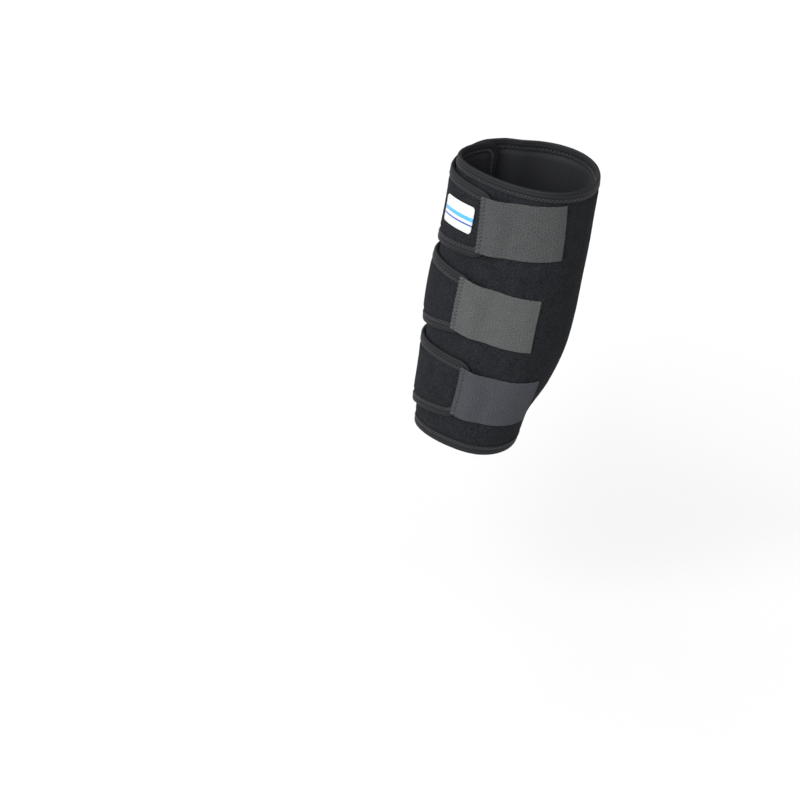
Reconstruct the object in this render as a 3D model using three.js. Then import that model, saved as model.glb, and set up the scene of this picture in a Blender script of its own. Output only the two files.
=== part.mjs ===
// A calf compression sleeve, closed: one padded panel wraps round and overlaps itself on the shin
// side, where its end is cut into tongues that hook tabs hold down. Millimetres, +Z up the sleeve,
// shin side towards -X, the side that shows the tabs towards -Y.
import * as THREE from 'three';

// Overall sizes
const SLEEVE_HEIGHT = 260; // from rim to rim
const HOLLOW_DEPTH = 120; // inside, from the shin side to the calf side, about halfway up

// Padded panel
const PANEL_THICKNESS = 4;
const SQUEEZED_THICKNESS = 1; // under the binding's fold
const SQUEEZED_RISE = 0.2; // how much thicker it is where the binding's face ends
const SWELL_SETBACK = 1; // squeezed flat this far past the binding's face
const SWELL_WIDTH = 7; // from there to full thickness
const LAYER_GAP = 0.4; // between two pieces that lie on each other
const UNDERLAP = 60; // how far the inner end reaches back past the shin line
const CLIMB_LENGTH = 22; // over which the panel rises onto its own inner end
const CLIMB_SETBACK = 5; // from the inner end's binding to where the panel is all the way up
const PANEL_CORNER = 14; // radius in the sheet
const GRID_STEP = 9; // spacing of the panel's columns
const PATCH_STEP = 6.5; // spacing of the columns of what lies on the panel

// Slots that part the tongues
const SLOT_SETBACK = 28; // from the shin line back to the slots' round ends
const SLOT_END_RADIUS = 3.5;

// Binding tape, folded over the panel's whole edge
const BINDING_FACE = 8; // width of each face
const BINDING_THICKNESS = 1;
const BINDING_GAP = 0.4; // between the tape's inside and the panel
const BINDING_NOSE = 1.1; // from the fold's inside out to its nose

// Hook tabs
const TAB_WIDTH = 50;
const TAB_LENGTH = 77; // of the longest
const TAB_THICKNESS = 1.3;
const TAB_CORNER = 1;
const TAB_DROP_SETBACK = 2.5; // from the tongue's bound end to where the tab starts down
const TAB_DROP_LENGTH = 18; // over which a tab comes down from its tongue onto the panel

// Label on the top tongue
const LABEL_LENGTH = 37;
const LABEL_HEIGHT = 24.5;
const LABEL_THICKNESS = 1;
const LABEL_CORNER = 3;
const LABEL_START = 0.032; // turns from the shin line
const LABEL_LEVEL = 0.836; // its middle, as a share of the sleeve's height
const LABEL_RISE = 0.04; // millimetre per millimetre of length

// The hollow's outline at even levels from the bottom rim to the top rim. Shin and calf are its
// reaches from the axis, as shares of HOLLOW_DEPTH. Side is its width over its own depth.
const HOLLOW_LEVELS = [
  { shin: 0.5, calf: 0.218, side: 0.95 },
  { shin: 0.504, calf: 0.264, side: 0.95 },
  { shin: 0.508, calf: 0.375, side: 0.945 },
  { shin: 0.515, calf: 0.447, side: 0.94 },
  { shin: 0.519, calf: 0.475, side: 0.935 },
  { shin: 0.505, calf: 0.486, side: 0.93 },
  { shin: 0.485, calf: 0.491, side: 0.93 },
  { shin: 0.473, calf: 0.487, side: 0.93 },
  { shin: 0.475, calf: 0.483, side: 0.93 },
];
const EGG = 0.27; // how much narrower than an ellipse the outline is at the shin

// Slots from the bottom up. Level is a share of the sleeve's height. The edges open by so many
// millimetres per millimetre towards the tips.
const SLOTS = [
  { level: 0.358, upperOpens: 0.227, lowerOpens: 0 },
  { level: 0.675, upperOpens: 0.115, lowerOpens: 0.06 },
];

// The outer edges of the top and the bottom tongue leave the rims in a smooth step and slope on
// from the shin line, in turns and shares of the sleeve's height.
const TOP_EDGE = { leavesAt: -0.13, stepLength: 0.15, step: 0.041, slope: 0.07 };
const BOTTOM_EDGE = { leavesAt: -0.2, stepLength: 0.24, step: 0.087, slope: 0.21 };

// Tongues and their tabs from the bottom up. Rows is the number of rows of faces between a tongue's
// swelled edges. Reach and tabStart are turns from the shin line, tabLength is a share of
// TAB_LENGTH, tabLevel is the middle of the tab's sewn end as a share of the sleeve's height, tabRise
// is in millimetres per millimetre, tabSag is a share of TAB_WIDTH, and tabLean is how far back its
// ends lean, in millimetres per millimetre up.
const TONGUES = [
  {
    name: 'bottom', rows: 7, reach: 0.201, tabStart: 0.178, tabLength: 0.96, tabLevel: 0.2373,
    tabRise: -0.077, tabSag: 0.034, tabLean: 0.047,
  },
  {
    name: 'middle', rows: 3, reach: 0.163, tabStart: 0.1266, tabLength: 1, tabLevel: 0.5505,
    tabRise: -0.068, tabSag: 0.014, tabLean: 0,
  },
  {
    name: 'top', rows: 3, reach: 0.173, tabStart: 0.1451, tabLength: 1, tabLevel: 0.8425,
    tabRise: 0.086, tabSag: 0, tabLean: 0.07,
  },
];

const HALF_PANEL = PANEL_THICKNESS / 2;
const INNER_MIDDLE = HALF_PANEL; // standoff of the inner layer's middle from the hollow
const OUTER_MIDDLE = INNER_MIDDLE + PANEL_THICKNESS + LAYER_GAP;
const SECTION_SEGMENTS = 144;
const WRAP_END = 1; // turn at which the outer layer is back at the shin line

const smoothStep = (x) => THREE.MathUtils.smoothstep(x, 0, 1);
const lerp = THREE.MathUtils.lerp;
const shareOfHeight = (share) => (share - 0.5) * SLEEVE_HEIGHT;

// Catmull-Rom value of one column of HOLLOW_LEVELS at height z
function hollowShare(column, z) {
  const last = HOLLOW_LEVELS.length - 1;
  const place = THREE.MathUtils.clamp(z / SLEEVE_HEIGHT + 0.5, -0.02, 1.02) * last;
  const low = THREE.MathUtils.clamp(Math.floor(place), 0, last - 1);
  const row = (i) => HOLLOW_LEVELS[THREE.MathUtils.clamp(i, 0, last)][column];
  const before = low > 0 ? row(low - 1) : 2 * row(0) - row(1);
  const after = low + 2 <= last ? row(low + 2) : 2 * row(last) - row(last - 1);
  const t = place - low;
  const slopeLow = (row(low + 1) - before) / 2;
  const slopeHigh = (after - row(low)) / 2;
  const h00 = 2 * t ** 3 - 3 * t ** 2 + 1;
  const h10 = t ** 3 - 2 * t ** 2 + t;
  const h11 = t ** 3 - t ** 2;
  return h00 * row(low) + h10 * slopeLow + (1 - h00) * row(low + 1) + h11 * slopeHigh;
}

// Half axes of the egg-shaped outline at height z, and the arc length round it by angle
const EGG_WIDEST = (1 - Math.sqrt(1 + 8 * EGG ** 2)) / (4 * EGG); // cosine of the angle there
const EGG_WIDTH = Math.sqrt(1 - EGG_WIDEST ** 2) * (1 - EGG * EGG_WIDEST);
const sectionCache = new Map();
function hollowSection(z) {
  const key = Math.round(z * 1000);
  if (sectionCache.has(key)) return sectionCache.get(key);
  const shin = hollowShare('shin', z) * HOLLOW_DEPTH;
  const calf = hollowShare('calf', z) * HOLLOW_DEPTH;
  const section = {
    middle: (calf - shin) / 2,
    depthAxis: (shin + calf) / 2,
    sideAxis: hollowShare('side', z) * (shin + calf) / 2 / EGG_WIDTH,
    arc: [0],
  };
  let previous = eggPoint(section, 0, 0);
  for (let i = 1; i <= SECTION_SEGMENTS; i++) {
    const point = eggPoint(section, (2 * Math.PI * i) / SECTION_SEGMENTS, 0);
    section.arc.push(section.arc[i - 1] + point.distanceTo(previous));
    previous = point;
  }
  section.girth = section.arc[SECTION_SEGMENTS];
  sectionCache.set(key, section);
  return section;
}

// The angle starts at the shin line and runs over the side towards -Y to the calf.
function eggPoint({ middle, depthAxis, sideAxis }, angle, standoff) {
  const narrowed = 1 - EGG * Math.cos(angle);
  const alongX = depthAxis * Math.sin(angle);
  const alongY = -sideAxis * (Math.cos(angle) - EGG * Math.cos(2 * angle));
  return new THREE.Vector2(middle - depthAxis * Math.cos(angle), -sideAxis * Math.sin(angle) * narrowed)
    .addScaledVector(new THREE.Vector2(alongY, -alongX).normalize(), standoff);
}

// Place in space of a point of the flat sheet: turns round the hollow, height and standoff from it
function wrapPoint(turn, z, standoff) {
  const section = hollowSection(z);
  const arc = THREE.MathUtils.euclideanModulo(turn, 1) * section.girth;
  let i = 1;
  while (i < SECTION_SEGMENTS && section.arc[i] < arc) i++;
  const part = (arc - section.arc[i - 1]) / (section.arc[i] - section.arc[i - 1]);
  const point = eggPoint(section, (2 * Math.PI * (i - 1 + part)) / SECTION_SEGMENTS, standoff);
  return new THREE.Vector3(point.x, point.y, z);
}

// One turn's length in a layer whose middle stands off the hollow
const turnLength = (z, standoff) => hollowSection(z).girth + 2 * Math.PI * standoff;
const outerTurns = (length, z) => length / turnLength(z, OUTER_MIDDLE);

const CALF_TURN = turnLength(0, OUTER_MIDDLE);
const INNER_END_TURN = -UNDERLAP / CALF_TURN;
const BINDING_REACH = BINDING_GAP + BINDING_NOSE; // of the fold past the panel's edge
const CLIMB_END_TURN = WRAP_END + INNER_END_TURN - (BINDING_REACH + CLIMB_SETBACK) / CALF_TURN;
const CLIMB_START_TURN = CLIMB_END_TURN - CLIMB_LENGTH / CALF_TURN;
const SLOT_TURN = WRAP_END - SLOT_SETBACK / CALF_TURN;
const SLOT_END_TURN = SLOT_TURN - SLOT_END_RADIUS / CALF_TURN;
const TOP_TONGUE = TONGUES.length - 1;

// Standoff of the panel's middle
function layerMiddle(turn) {
  const climbed = (turn - CLIMB_START_TURN) / (CLIMB_END_TURN - CLIMB_START_TURN);
  return lerp(INNER_MIDDLE, OUTER_MIDDLE, smoothStep(climbed));
}

// Height of a corner's round that starts so far before the end
function cornerDrop(distanceToEnd) {
  const inside = THREE.MathUtils.clamp(PANEL_CORNER - distanceToEnd, 0, PANEL_CORNER);
  return PANEL_CORNER - Math.sqrt(PANEL_CORNER ** 2 - inside ** 2);
}

// How far the slot's edge stands off its middle line
function slotOpening(turn, opens) {
  const past = (turn - SLOT_TURN) * CALF_TURN;
  if (past <= -SLOT_END_RADIUS) return 0;
  if (past < 0) return Math.sqrt(SLOT_END_RADIUS ** 2 - past ** 2);
  return SLOT_END_RADIUS + opens * past;
}

// Heights of a tongue's two edges, corners not rounded yet. Before the slots these are the lines
// that carry on from the slots across the panel.
function straightEdges(tongue, turn) {
  const past = turn - WRAP_END;
  const leaves = ({ leavesAt, stepLength, step, slope }) =>
    step * smoothStep((past - leavesAt) / stepLength) + slope * Math.max(0, past);
  const slotAbove = SLOTS[tongue];
  const slotBelow = SLOTS[tongue - 1];
  return {
    upper: slotAbove
      ? shareOfHeight(slotAbove.level) - slotOpening(turn, slotAbove.lowerOpens)
      : shareOfHeight(1 - leaves(TOP_EDGE)),
    lower: slotBelow
      ? shareOfHeight(slotBelow.level) + slotOpening(turn, slotBelow.upperOpens)
      : shareOfHeight(leaves(BOTTOM_EDGE)),
  };
}

const tipTurn = (tongue) => WRAP_END + TONGUES[tongue].reach;

// The same with rounded corners, at the tongue's tip and at the panel's inner end
function tongueEdges(tongue, turn) {
  const { upper, lower } = straightEdges(tongue, turn);
  const tipDrop = cornerDrop((tipTurn(tongue) - turn) * CALF_TURN);
  const endDrop = cornerDrop((turn - INNER_END_TURN) * CALF_TURN);
  const upperDrop = tipDrop + (tongue === TOP_TONGUE ? endDrop : 0);
  const lowerDrop = tipDrop + (tongue === 0 ? endDrop : 0);
  return { upper: upper - upperDrop, lower: lower + lowerDrop };
}

// Distance in the sheet from a point to a corner of two edges, rounded
function roundedDistance(alongSheet, acrossSheet) {
  const a = PANEL_CORNER - alongSheet;
  const b = PANEL_CORNER - acrossSheet;
  return a > 0 && b > 0 ? PANEL_CORNER - Math.hypot(a, b) : Math.min(alongSheet, acrossSheet);
}

// Distance in the sheet from a point of one tongue's strip to the panel's edge
function edgeDistance(tongue, turn, z) {
  const { upper, lower } = straightEdges(tongue, turn);
  const toTip = (tipTurn(tongue) - turn) * CALF_TURN;
  const toEnd = (turn - INNER_END_TURN) * CALF_TURN;
  const toSlotEnd = (turn - SLOT_TURN) * CALF_TURN;
  const distances = [toTip, toEnd];
  [[upper - z, SLOTS[tongue]], [z - lower, SLOTS[tongue - 1]]].forEach(([across, slot]) => {
    if (!slot) {
      distances.push(roundedDistance(toTip, across), roundedDistance(toEnd, across));
    } else if (toSlotEnd > 0) {
      distances.push(roundedDistance(toTip, across));
    } else {
      const acrossSlot = Math.abs(z - shareOfHeight(slot.level));
      distances.push(Math.max(-toSlotEnd, acrossSlot) - SLOT_END_RADIUS);
    }
  });
  return Math.max(0, Math.min(...distances));
}

// Half the panel's thickness so far from its edge, squeezed flat under the binding
const SQUEEZED_WIDTH = BINDING_FACE + SWELL_SETBACK;
function halfThickness(distance) {
  const squeezed = (SQUEEZED_THICKNESS + SQUEEZED_RISE * Math.min(1, distance / SQUEEZED_WIDTH)) / 2;
  const swelled = THREE.MathUtils.clamp((distance - SQUEEZED_WIDTH) / SWELL_WIDTH, 0, 1);
  return lerp(squeezed, HALF_PANEL, swelled);
}

// Columns near an end, from the end inwards
const endColumns = () => [0, 0.06, 0.25, 0.6].map((share) => share * PANEL_CORNER)
  .concat(SQUEEZED_WIDTH + SWELL_WIDTH);

function evenSteps(from, to, step) {
  const count = Math.max(1, Math.round(Math.abs(to - from) / step));
  return Array.from({ length: count }, (_, i) => lerp(from, to, (i + 1) / count));
}

// Turns of the panel's columns, before the slots and past them
function bodyColumns() {
  const near = endColumns().map((d) => INNER_END_TURN + d / CALF_TURN);
  const slotSwell = SLOT_END_TURN - (SQUEEZED_WIDTH + SWELL_WIDTH) / CALF_TURN;
  const slotSqueeze = SLOT_END_TURN - SQUEEZED_WIDTH / CALF_TURN;
  const step = GRID_STEP / CALF_TURN;
  return near.concat(
    evenSteps(near.at(-1), CLIMB_START_TURN, step),
    evenSteps(CLIMB_START_TURN, CLIMB_END_TURN, (CLIMB_LENGTH / 4) / CALF_TURN),
    evenSteps(CLIMB_END_TURN, slotSwell, step),
    slotSqueeze,
    SLOT_END_TURN,
  );
}
function tongueColumns(tongue) {
  const roundEnd = [0.134, 0.5, 1].map((share) => lerp(SLOT_END_TURN, SLOT_TURN, share));
  const near = endColumns().map((d) => tipTurn(tongue) - d / CALF_TURN).reverse();
  return roundEnd.concat(evenSteps(SLOT_TURN, near[0], GRID_STEP / CALF_TURN), near.slice(1));
}

// Heights of a strip's rows at one column, from its lower edge to its upper edge
function rowHeights(tongue, turn) {
  const { upper, lower } = tongueEdges(tongue, turn);
  const swelled = SQUEEZED_WIDTH + SWELL_WIDTH;
  const edge = [0, SQUEEZED_WIDTH, swelled].map((d) => Math.min(d, (upper - lower) * d / (2.4 * swelled)));
  const innerStep = (upper - lower - 2 * edge[2]) / TONGUES[tongue].rows;
  const inner = evenSteps(lower + edge[2], upper - edge[2], innerStep);
  return [lower, lower + edge[1], lower + edge[2], ...inner, upper - edge[1], upper];
}

// A closed solid from a sheet of four-sided faces with an outside and an inside point at each
// corner. Faces run counter-clockwise seen from outside. Walls close the free edges.
function sheetSolid(corners, faces) {
  const positions = corners.flatMap(({ outside, inside }) => [...outside, ...inside]);
  const triangles = [];
  const edges = new Map();
  const outsideOf = (i) => 2 * i;
  const insideOf = (i) => 2 * i + 1;
  for (const face of faces) {
    for (const [a, b, c] of [[face[0], face[1], face[2]], [face[0], face[2], face[3]]]) {
      triangles.push(outsideOf(a), outsideOf(b), outsideOf(c));
      triangles.push(insideOf(a), insideOf(c), insideOf(b));
    }
    face.forEach((a, i) => edges.set(a + '>' + face[(i + 1) % 4], [a, face[(i + 1) % 4]]));
  }
  for (const [a, b] of edges.values()) {
    if (edges.has(b + '>' + a)) continue;
    triangles.push(outsideOf(a), insideOf(a), insideOf(b));
    triangles.push(outsideOf(a), insideOf(b), outsideOf(b));
  }
  return solidGeometry(positions, triangles);
}

function solidGeometry(positions, triangles) {
  const geometry = new THREE.BufferGeometry();
  geometry.setAttribute('position', new THREE.Float32BufferAttribute(positions, 3));
  geometry.setIndex(triangles);
  geometry.computeVertexNormals();
  return geometry;
}

// The padded panel: full-height columns round the hollow, then one strip of columns per tongue
function wrapPanel() {
  const corners = [];
  const faces = [];
  const places = new Map();
  const cornerAt = (tongue, turn, row, z) => {
    const before = turn <= SLOT_END_TURN + 1e-9;
    const shared = before && row === 'lower' && tongue > 0 ? [tongue - 1, 'upper'] : [tongue, row];
    const key = [...shared, turn.toFixed(6)].join();
    if (!places.has(key)) {
      const half = halfThickness(edgeDistance(tongue, turn, z));
      const middle = layerMiddle(turn);
      corners.push({
        outside: wrapPoint(turn, z, middle + half),
        inside: wrapPoint(turn, z, middle - half),
      });
      places.set(key, corners.length - 1);
    }
    return places.get(key);
  };
  TONGUES.forEach((_, tongue) => {
    const columns = bodyColumns().concat(tongueColumns(tongue)).map((turn) => {
      const heights = rowHeights(tongue, turn);
      const rowName = (i) => (i === 0 ? 'lower' : i === heights.length - 1 ? 'upper' : i);
      return heights.map((z, i) => cornerAt(tongue, turn, rowName(i), z));
    });
    for (let c = 0; c + 1 < columns.length; c++) {
      for (let r = 0; r + 1 < columns[c].length; r++) {
        faces.push([columns[c][r], columns[c + 1][r], columns[c + 1][r + 1], columns[c][r + 1]]);
      }
    }
  });
  return sheetSolid(corners, faces);
}

// The panel's whole edge as one closed path, with the panel on its left seen from outside
function panelEdge() {
  const body = bodyColumns();
  const path = body.map((turn) => [turn, tongueEdges(0, turn).lower]);
  TONGUES.forEach((_, tongue) => {
    const columns = tongueColumns(tongue);
    const along = (side) => columns.map((turn) => [turn, tongueEdges(tongue, turn)[side]]);
    const lower = along('lower');
    const upper = along('upper').reverse();
    const tip = lerp(lower.at(-1)[1], upper[0][1], 0.5);
    path.push(...lower, [tipTurn(tongue), tip], ...upper);
    if (tongue < TOP_TONGUE) path.push([SLOT_END_TURN, shareOfHeight(SLOTS[tongue].level)]);
  });
  path.push(...[...body].reverse().map((turn) => [turn, tongueEdges(TOP_TONGUE, turn).upper]));
  const [low, high] = [path[0][1], path.at(-1)[1]];
  path.push(...evenSteps(high, low, 2 * GRID_STEP).slice(0, -1).map((z) => [INNER_END_TURN, z]));
  return path;
}

// Section of the folded tape, as distances into the panel from its edge and off its middle
function bindingSection() {
  const inFold = SQUEEZED_THICKNESS / 2 + BINDING_GAP;
  const inFace = inFold + SQUEEZED_RISE / 2;
  return [
    [BINDING_FACE, inFace + BINDING_THICKNESS],
    [-BINDING_REACH / 2, inFold + 0.75 * BINDING_THICKNESS],
    [-BINDING_REACH, 0],
    [-BINDING_REACH / 2, -inFold - 0.75 * BINDING_THICKNESS],
    [BINDING_FACE, -inFace - BINDING_THICKNESS],
    [BINDING_FACE, -inFace],
    [-BINDING_GAP, -inFold],
    [-BINDING_GAP, inFold],
    [BINDING_FACE, inFace],
  ];
}

// The tape swept along the panel's edge. At each place its section leans halfway between the two
// edges that meet there.
function edgeBinding() {
  const path = panelEdge();
  const section = bindingSection();
  const flat = path.map(([turn, z]) => new THREE.Vector2(turn * CALF_TURN, z));
  const positions = [];
  const triangles = [];
  path.forEach(([turn, z], i) => {
    const before = flat[i].clone().sub(flat.at(i - 1)).normalize();
    const after = flat[(i + 1) % flat.length].clone().sub(flat[i]).normalize();
    const inward = before.clone().add(after).rotateAround(new THREE.Vector2(), Math.PI / 2).normalize();
    const stretch = 1 / Math.max(0.6, Math.abs(inward.cross(after)));
    for (const [into, off] of section) {
      const turnHere = turn + (inward.x * into * stretch) / CALF_TURN;
      const middle = layerMiddle(turn);
      positions.push(...wrapPoint(turnHere, z + inward.y * into * stretch, middle + off));
    }
  });
  const count = section.length;
  path.forEach((_, i) => {
    const here = i * count;
    const next = ((i + 1) % path.length) * count;
    section.forEach((__, k) => {
      const l = (k + 1) % count;
      triangles.push(here + k, here + l, next + l, here + k, next + l, next + k);
    });
  });
  return solidGeometry(positions, triangles);
}

// A flat patch with rounded corners, laid on the sleeve. Columns are distances along it. The place
// of a point along and across it gives its turn, height and the standoff of its inside face.
function patchSolid(length, width, corner, thickness, columns, place) {
  const sideRows = [0, 0.3, 1].map((share) => width / 2 - share * corner);
  const inner = evenSteps(-width / 2 + corner, width / 2 - corner, 1.4 * GRID_STEP).slice(0, -1);
  const rows = [...sideRows.map((y) => -y), ...inner, ...sideRows.toReversed()];
  const corners = [];
  const faces = [];
  for (const column of columns) {
    for (const across of rows) {
      const past = THREE.MathUtils.clamp(Math.abs(across) - (width / 2 - corner), 0, corner);
      const inset = corner - Math.sqrt(corner ** 2 - past ** 2);
      const along = THREE.MathUtils.clamp(column, inset, length - inset);
      const { turn, z, standoff } = place(along, across);
      corners.push({
        outside: wrapPoint(turn, z, standoff + thickness),
        inside: wrapPoint(turn, z, standoff),
      });
    }
  }
  for (let c = 0; c + 1 < columns.length; c++) {
    for (let r = 0; r + 1 < rows.length; r++) {
      const here = c * rows.length + r;
      faces.push([here, here + rows.length, here + rows.length + 1, here + 1]);
    }
  }
  return sheetSolid(corners, faces);
}

// A hook tab: sewn to its tongue's end, then down past the end onto the panel
function hookTab(tongue) {
  const { reach, tabStart, tabLevel, tabRise, tabSag, tabLean } = TONGUES[tongue];
  const tabLength = TONGUES[tongue].tabLength * TAB_LENGTH;
  const onTongue = OUTER_MIDDLE + HALF_PANEL + LAYER_GAP;
  const onPanel = INNER_MIDDLE + HALF_PANEL + LAYER_GAP;
  const clear = BINDING_REACH + TAB_DROP_SETBACK;
  const tongueEnd = (reach - tabStart) * turnLength(shareOfHeight(tabLevel), OUTER_MIDDLE);
  const dropEnd = tongueEnd + clear + TAB_DROP_LENGTH;
  const columns = [0, TAB_CORNER]
    .concat(evenSteps(TAB_CORNER, tongueEnd + clear, PATCH_STEP))
    .concat(evenSteps(tongueEnd + clear, dropEnd, TAB_DROP_LENGTH / 5))
    .concat(evenSteps(dropEnd, tabLength - TAB_CORNER, PATCH_STEP), tabLength);
  return patchSolid(tabLength, TAB_WIDTH, TAB_CORNER, TAB_THICKNESS, columns, (along, across) => {
    const share = along / tabLength;
    const sag = tabSag * TAB_WIDTH * 4 * share * (1 - share);
    const z = shareOfHeight(tabLevel) + tabRise * along - sag + across;
    const leant = along - tabLean * across;
    const turn = tabStart + outerTurns(leant, z);
    const dropped = (leant - tongueEnd - clear) / TAB_DROP_LENGTH;
    return { turn, z, standoff: lerp(onTongue, onPanel, smoothStep(dropped)) };
  });
}

function label() {
  const columns = [0, LABEL_CORNER]
    .concat(evenSteps(LABEL_CORNER, LABEL_LENGTH - LABEL_CORNER, PATCH_STEP), LABEL_LENGTH);
  const standoff = OUTER_MIDDLE + HALF_PANEL + LAYER_GAP;
  return patchSolid(LABEL_LENGTH, LABEL_HEIGHT, LABEL_CORNER, LABEL_THICKNESS, columns, (along, across) => {
    const z = shareOfHeight(LABEL_LEVEL) + LABEL_RISE * along + across;
    return { turn: LABEL_START + outerTurns(along, z), z, standoff };
  });
}

const neoprene = () => new THREE.MeshStandardMaterial({ color: 0x2b2d30, roughness: 0.95 });
const bindingTape = () => new THREE.MeshStandardMaterial({ color: 0x36363a, roughness: 0.7 });
const hookTape = () => new THREE.MeshStandardMaterial({ color: 0x5a5c5e, roughness: 0.85 });
const labelSatin = () => new THREE.MeshStandardMaterial({ color: 0xf6f7f2, roughness: 0.5 });

function piece(name, geometry, material) {
  const mesh = new THREE.Mesh(geometry, material);
  mesh.name = name;
  return mesh;
}

const sleeve = new THREE.Group();
sleeve.name = 'calf_compression_sleeve';
sleeve.add(piece('wrap_panel', wrapPanel(), neoprene()));
sleeve.add(piece('edge_binding', edgeBinding(), bindingTape()));
TONGUES.forEach(({ name }, tongue) => {
  sleeve.add(piece('hook_tab_' + name, hookTab(tongue), hookTape()));
});
sleeve.add(piece('label', label(), labelSatin()));

export default sleeve;
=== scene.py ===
import math

import bmesh
import bpy
import numpy as np
from mathutils import Matrix, Vector


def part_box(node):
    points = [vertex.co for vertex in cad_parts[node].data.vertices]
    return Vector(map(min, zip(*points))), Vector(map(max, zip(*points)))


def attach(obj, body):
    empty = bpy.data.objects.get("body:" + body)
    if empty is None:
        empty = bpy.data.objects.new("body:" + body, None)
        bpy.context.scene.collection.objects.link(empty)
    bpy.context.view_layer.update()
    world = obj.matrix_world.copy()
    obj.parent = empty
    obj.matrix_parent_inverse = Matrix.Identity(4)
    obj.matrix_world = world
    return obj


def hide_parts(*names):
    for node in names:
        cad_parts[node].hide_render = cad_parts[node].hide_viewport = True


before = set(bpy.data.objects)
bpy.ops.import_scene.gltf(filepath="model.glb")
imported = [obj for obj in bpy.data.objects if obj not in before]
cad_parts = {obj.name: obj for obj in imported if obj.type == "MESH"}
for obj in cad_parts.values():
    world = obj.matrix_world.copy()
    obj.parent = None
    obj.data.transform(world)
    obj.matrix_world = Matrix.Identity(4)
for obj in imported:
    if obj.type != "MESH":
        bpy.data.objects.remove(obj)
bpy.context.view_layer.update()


# Padded wrap panel
# One sheet of neoprene foam, 4 mm thick, faced outside with brushed loop nylon that hooks catch
# on and inside with smooth nylon jersey. It is wrapped once round the calf, laps over its own end
# on the shin side, and its outer end is cut into three tongues.
MM = 0.001
panel_low, panel_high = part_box("wrap_panel")
SLEEVE_HEIGHT = (panel_high.z - panel_low.z) / MM
HOLLOW_DEPTH = 120.0
HALF_PANEL = 2.0
LAYER_GAP = 0.4
UNDERLAP = 60.0
PANEL_CORNER = 14.0
CLOTH_STEP = 2.05  # spacing of the panel's faces
TAPE_REACH = 1.5  # how far the edge tape stands past the panel's edge

# The hollow at even levels from the bottom rim up: reaches from the axis to the shin and to the
# calf as shares of its depth, and its width over its depth.
HOLLOW_SHIN = np.array([0.5, 0.504, 0.508, 0.515, 0.519, 0.505, 0.485, 0.473, 0.475])
HOLLOW_CALF = np.array([0.218, 0.264, 0.375, 0.447, 0.475, 0.486, 0.491, 0.487, 0.483])
HOLLOW_SIDE = np.array([0.95, 0.95, 0.945, 0.94, 0.935, 0.93, 0.93, 0.93, 0.93])
EGG = 0.27  # how much narrower than an ellipse it is at the shin
EGG_WIDEST = (1 - math.sqrt(1 + 8 * EGG**2)) / (4 * EGG)
EGG_WIDTH = math.sqrt(1 - EGG_WIDEST**2) * (1 - EGG * EGG_WIDEST)


def smooth_step(x):
    x = np.clip(x, 0, 1)
    return x * x * (3 - 2 * x)


def share_of_height(share):
    return (share - 0.5) * SLEEVE_HEIGHT


def hollow_share(shares, z):
    """Smooth value at height z of shares given at even levels."""
    last = len(shares) - 1
    first_out, last_out = 2 * shares[0] - shares[1], 2 * shares[-1] - shares[-2]
    padded = np.concatenate([[first_out], shares, [last_out]])
    place = np.clip(z / SLEEVE_HEIGHT + 0.5, -0.02, 1.02) * last
    low = np.clip(np.floor(place), 0, last - 1).astype(int)
    t = place - low
    before, start, end, after = (padded[low + k] for k in range(4))
    weight = 2 * t**3 - 3 * t**2 + 1
    slopes = (t**3 - 2 * t**2 + t) * (end - before) / 2 + (t**3 - t**2) * (after - start) / 2
    return weight * start + (1 - weight) * end + slopes


def hollow_axes(z):
    """Middle, half depth and half width of the egg-shaped hollow at height z."""
    shin = hollow_share(HOLLOW_SHIN, z) * HOLLOW_DEPTH
    calf = hollow_share(HOLLOW_CALF, z) * HOLLOW_DEPTH
    half_depth = (shin + calf) / 2
    return (calf - shin) / 2, half_depth, hollow_share(HOLLOW_SIDE, z) * half_depth / EGG_WIDTH


# Angle round the hollow for each share of its girth, at many heights
SHARES = 720
level_heights = np.linspace(-SLEEVE_HEIGHT / 2 - 5, SLEEVE_HEIGHT / 2 + 5, 136)
round_angles = np.linspace(0, 2 * math.pi, SHARES + 1)
level_middle, level_depth, level_width = hollow_axes(level_heights[:, None])
level_steps = np.hypot(
    np.diff(level_middle - level_depth * np.cos(round_angles), axis=1),
    np.diff(-level_width * np.sin(round_angles) * (1 - EGG * np.cos(round_angles)), axis=1),
)
level_arcs = np.pad(np.cumsum(level_steps, axis=1), ((0, 0), (1, 0)))
level_girths = level_arcs[:, -1]
angle_table = np.array(
    [np.interp(np.linspace(0, arc[-1], SHARES + 1), arc, round_angles) for arc in level_arcs]
)


def girth(z):
    return np.interp(z, level_heights, level_girths)


def soft_waves(turn, z):
    """Slight unevenness of cloth stretched round a soft leg, the same for all that lies there."""
    around = 2 * math.pi * turn
    return (
        0.26 * np.sin(3 * around + 0.031 * z + 0.4)
        + 0.2 * np.sin(2 * around - 0.052 * z + 2.1)
        + 0.13 * np.sin(7 * around + 0.043 * z + 1.3)
        + 0.1 * np.sin(5 * around - 0.097 * z + 5.2)
    )


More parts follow.
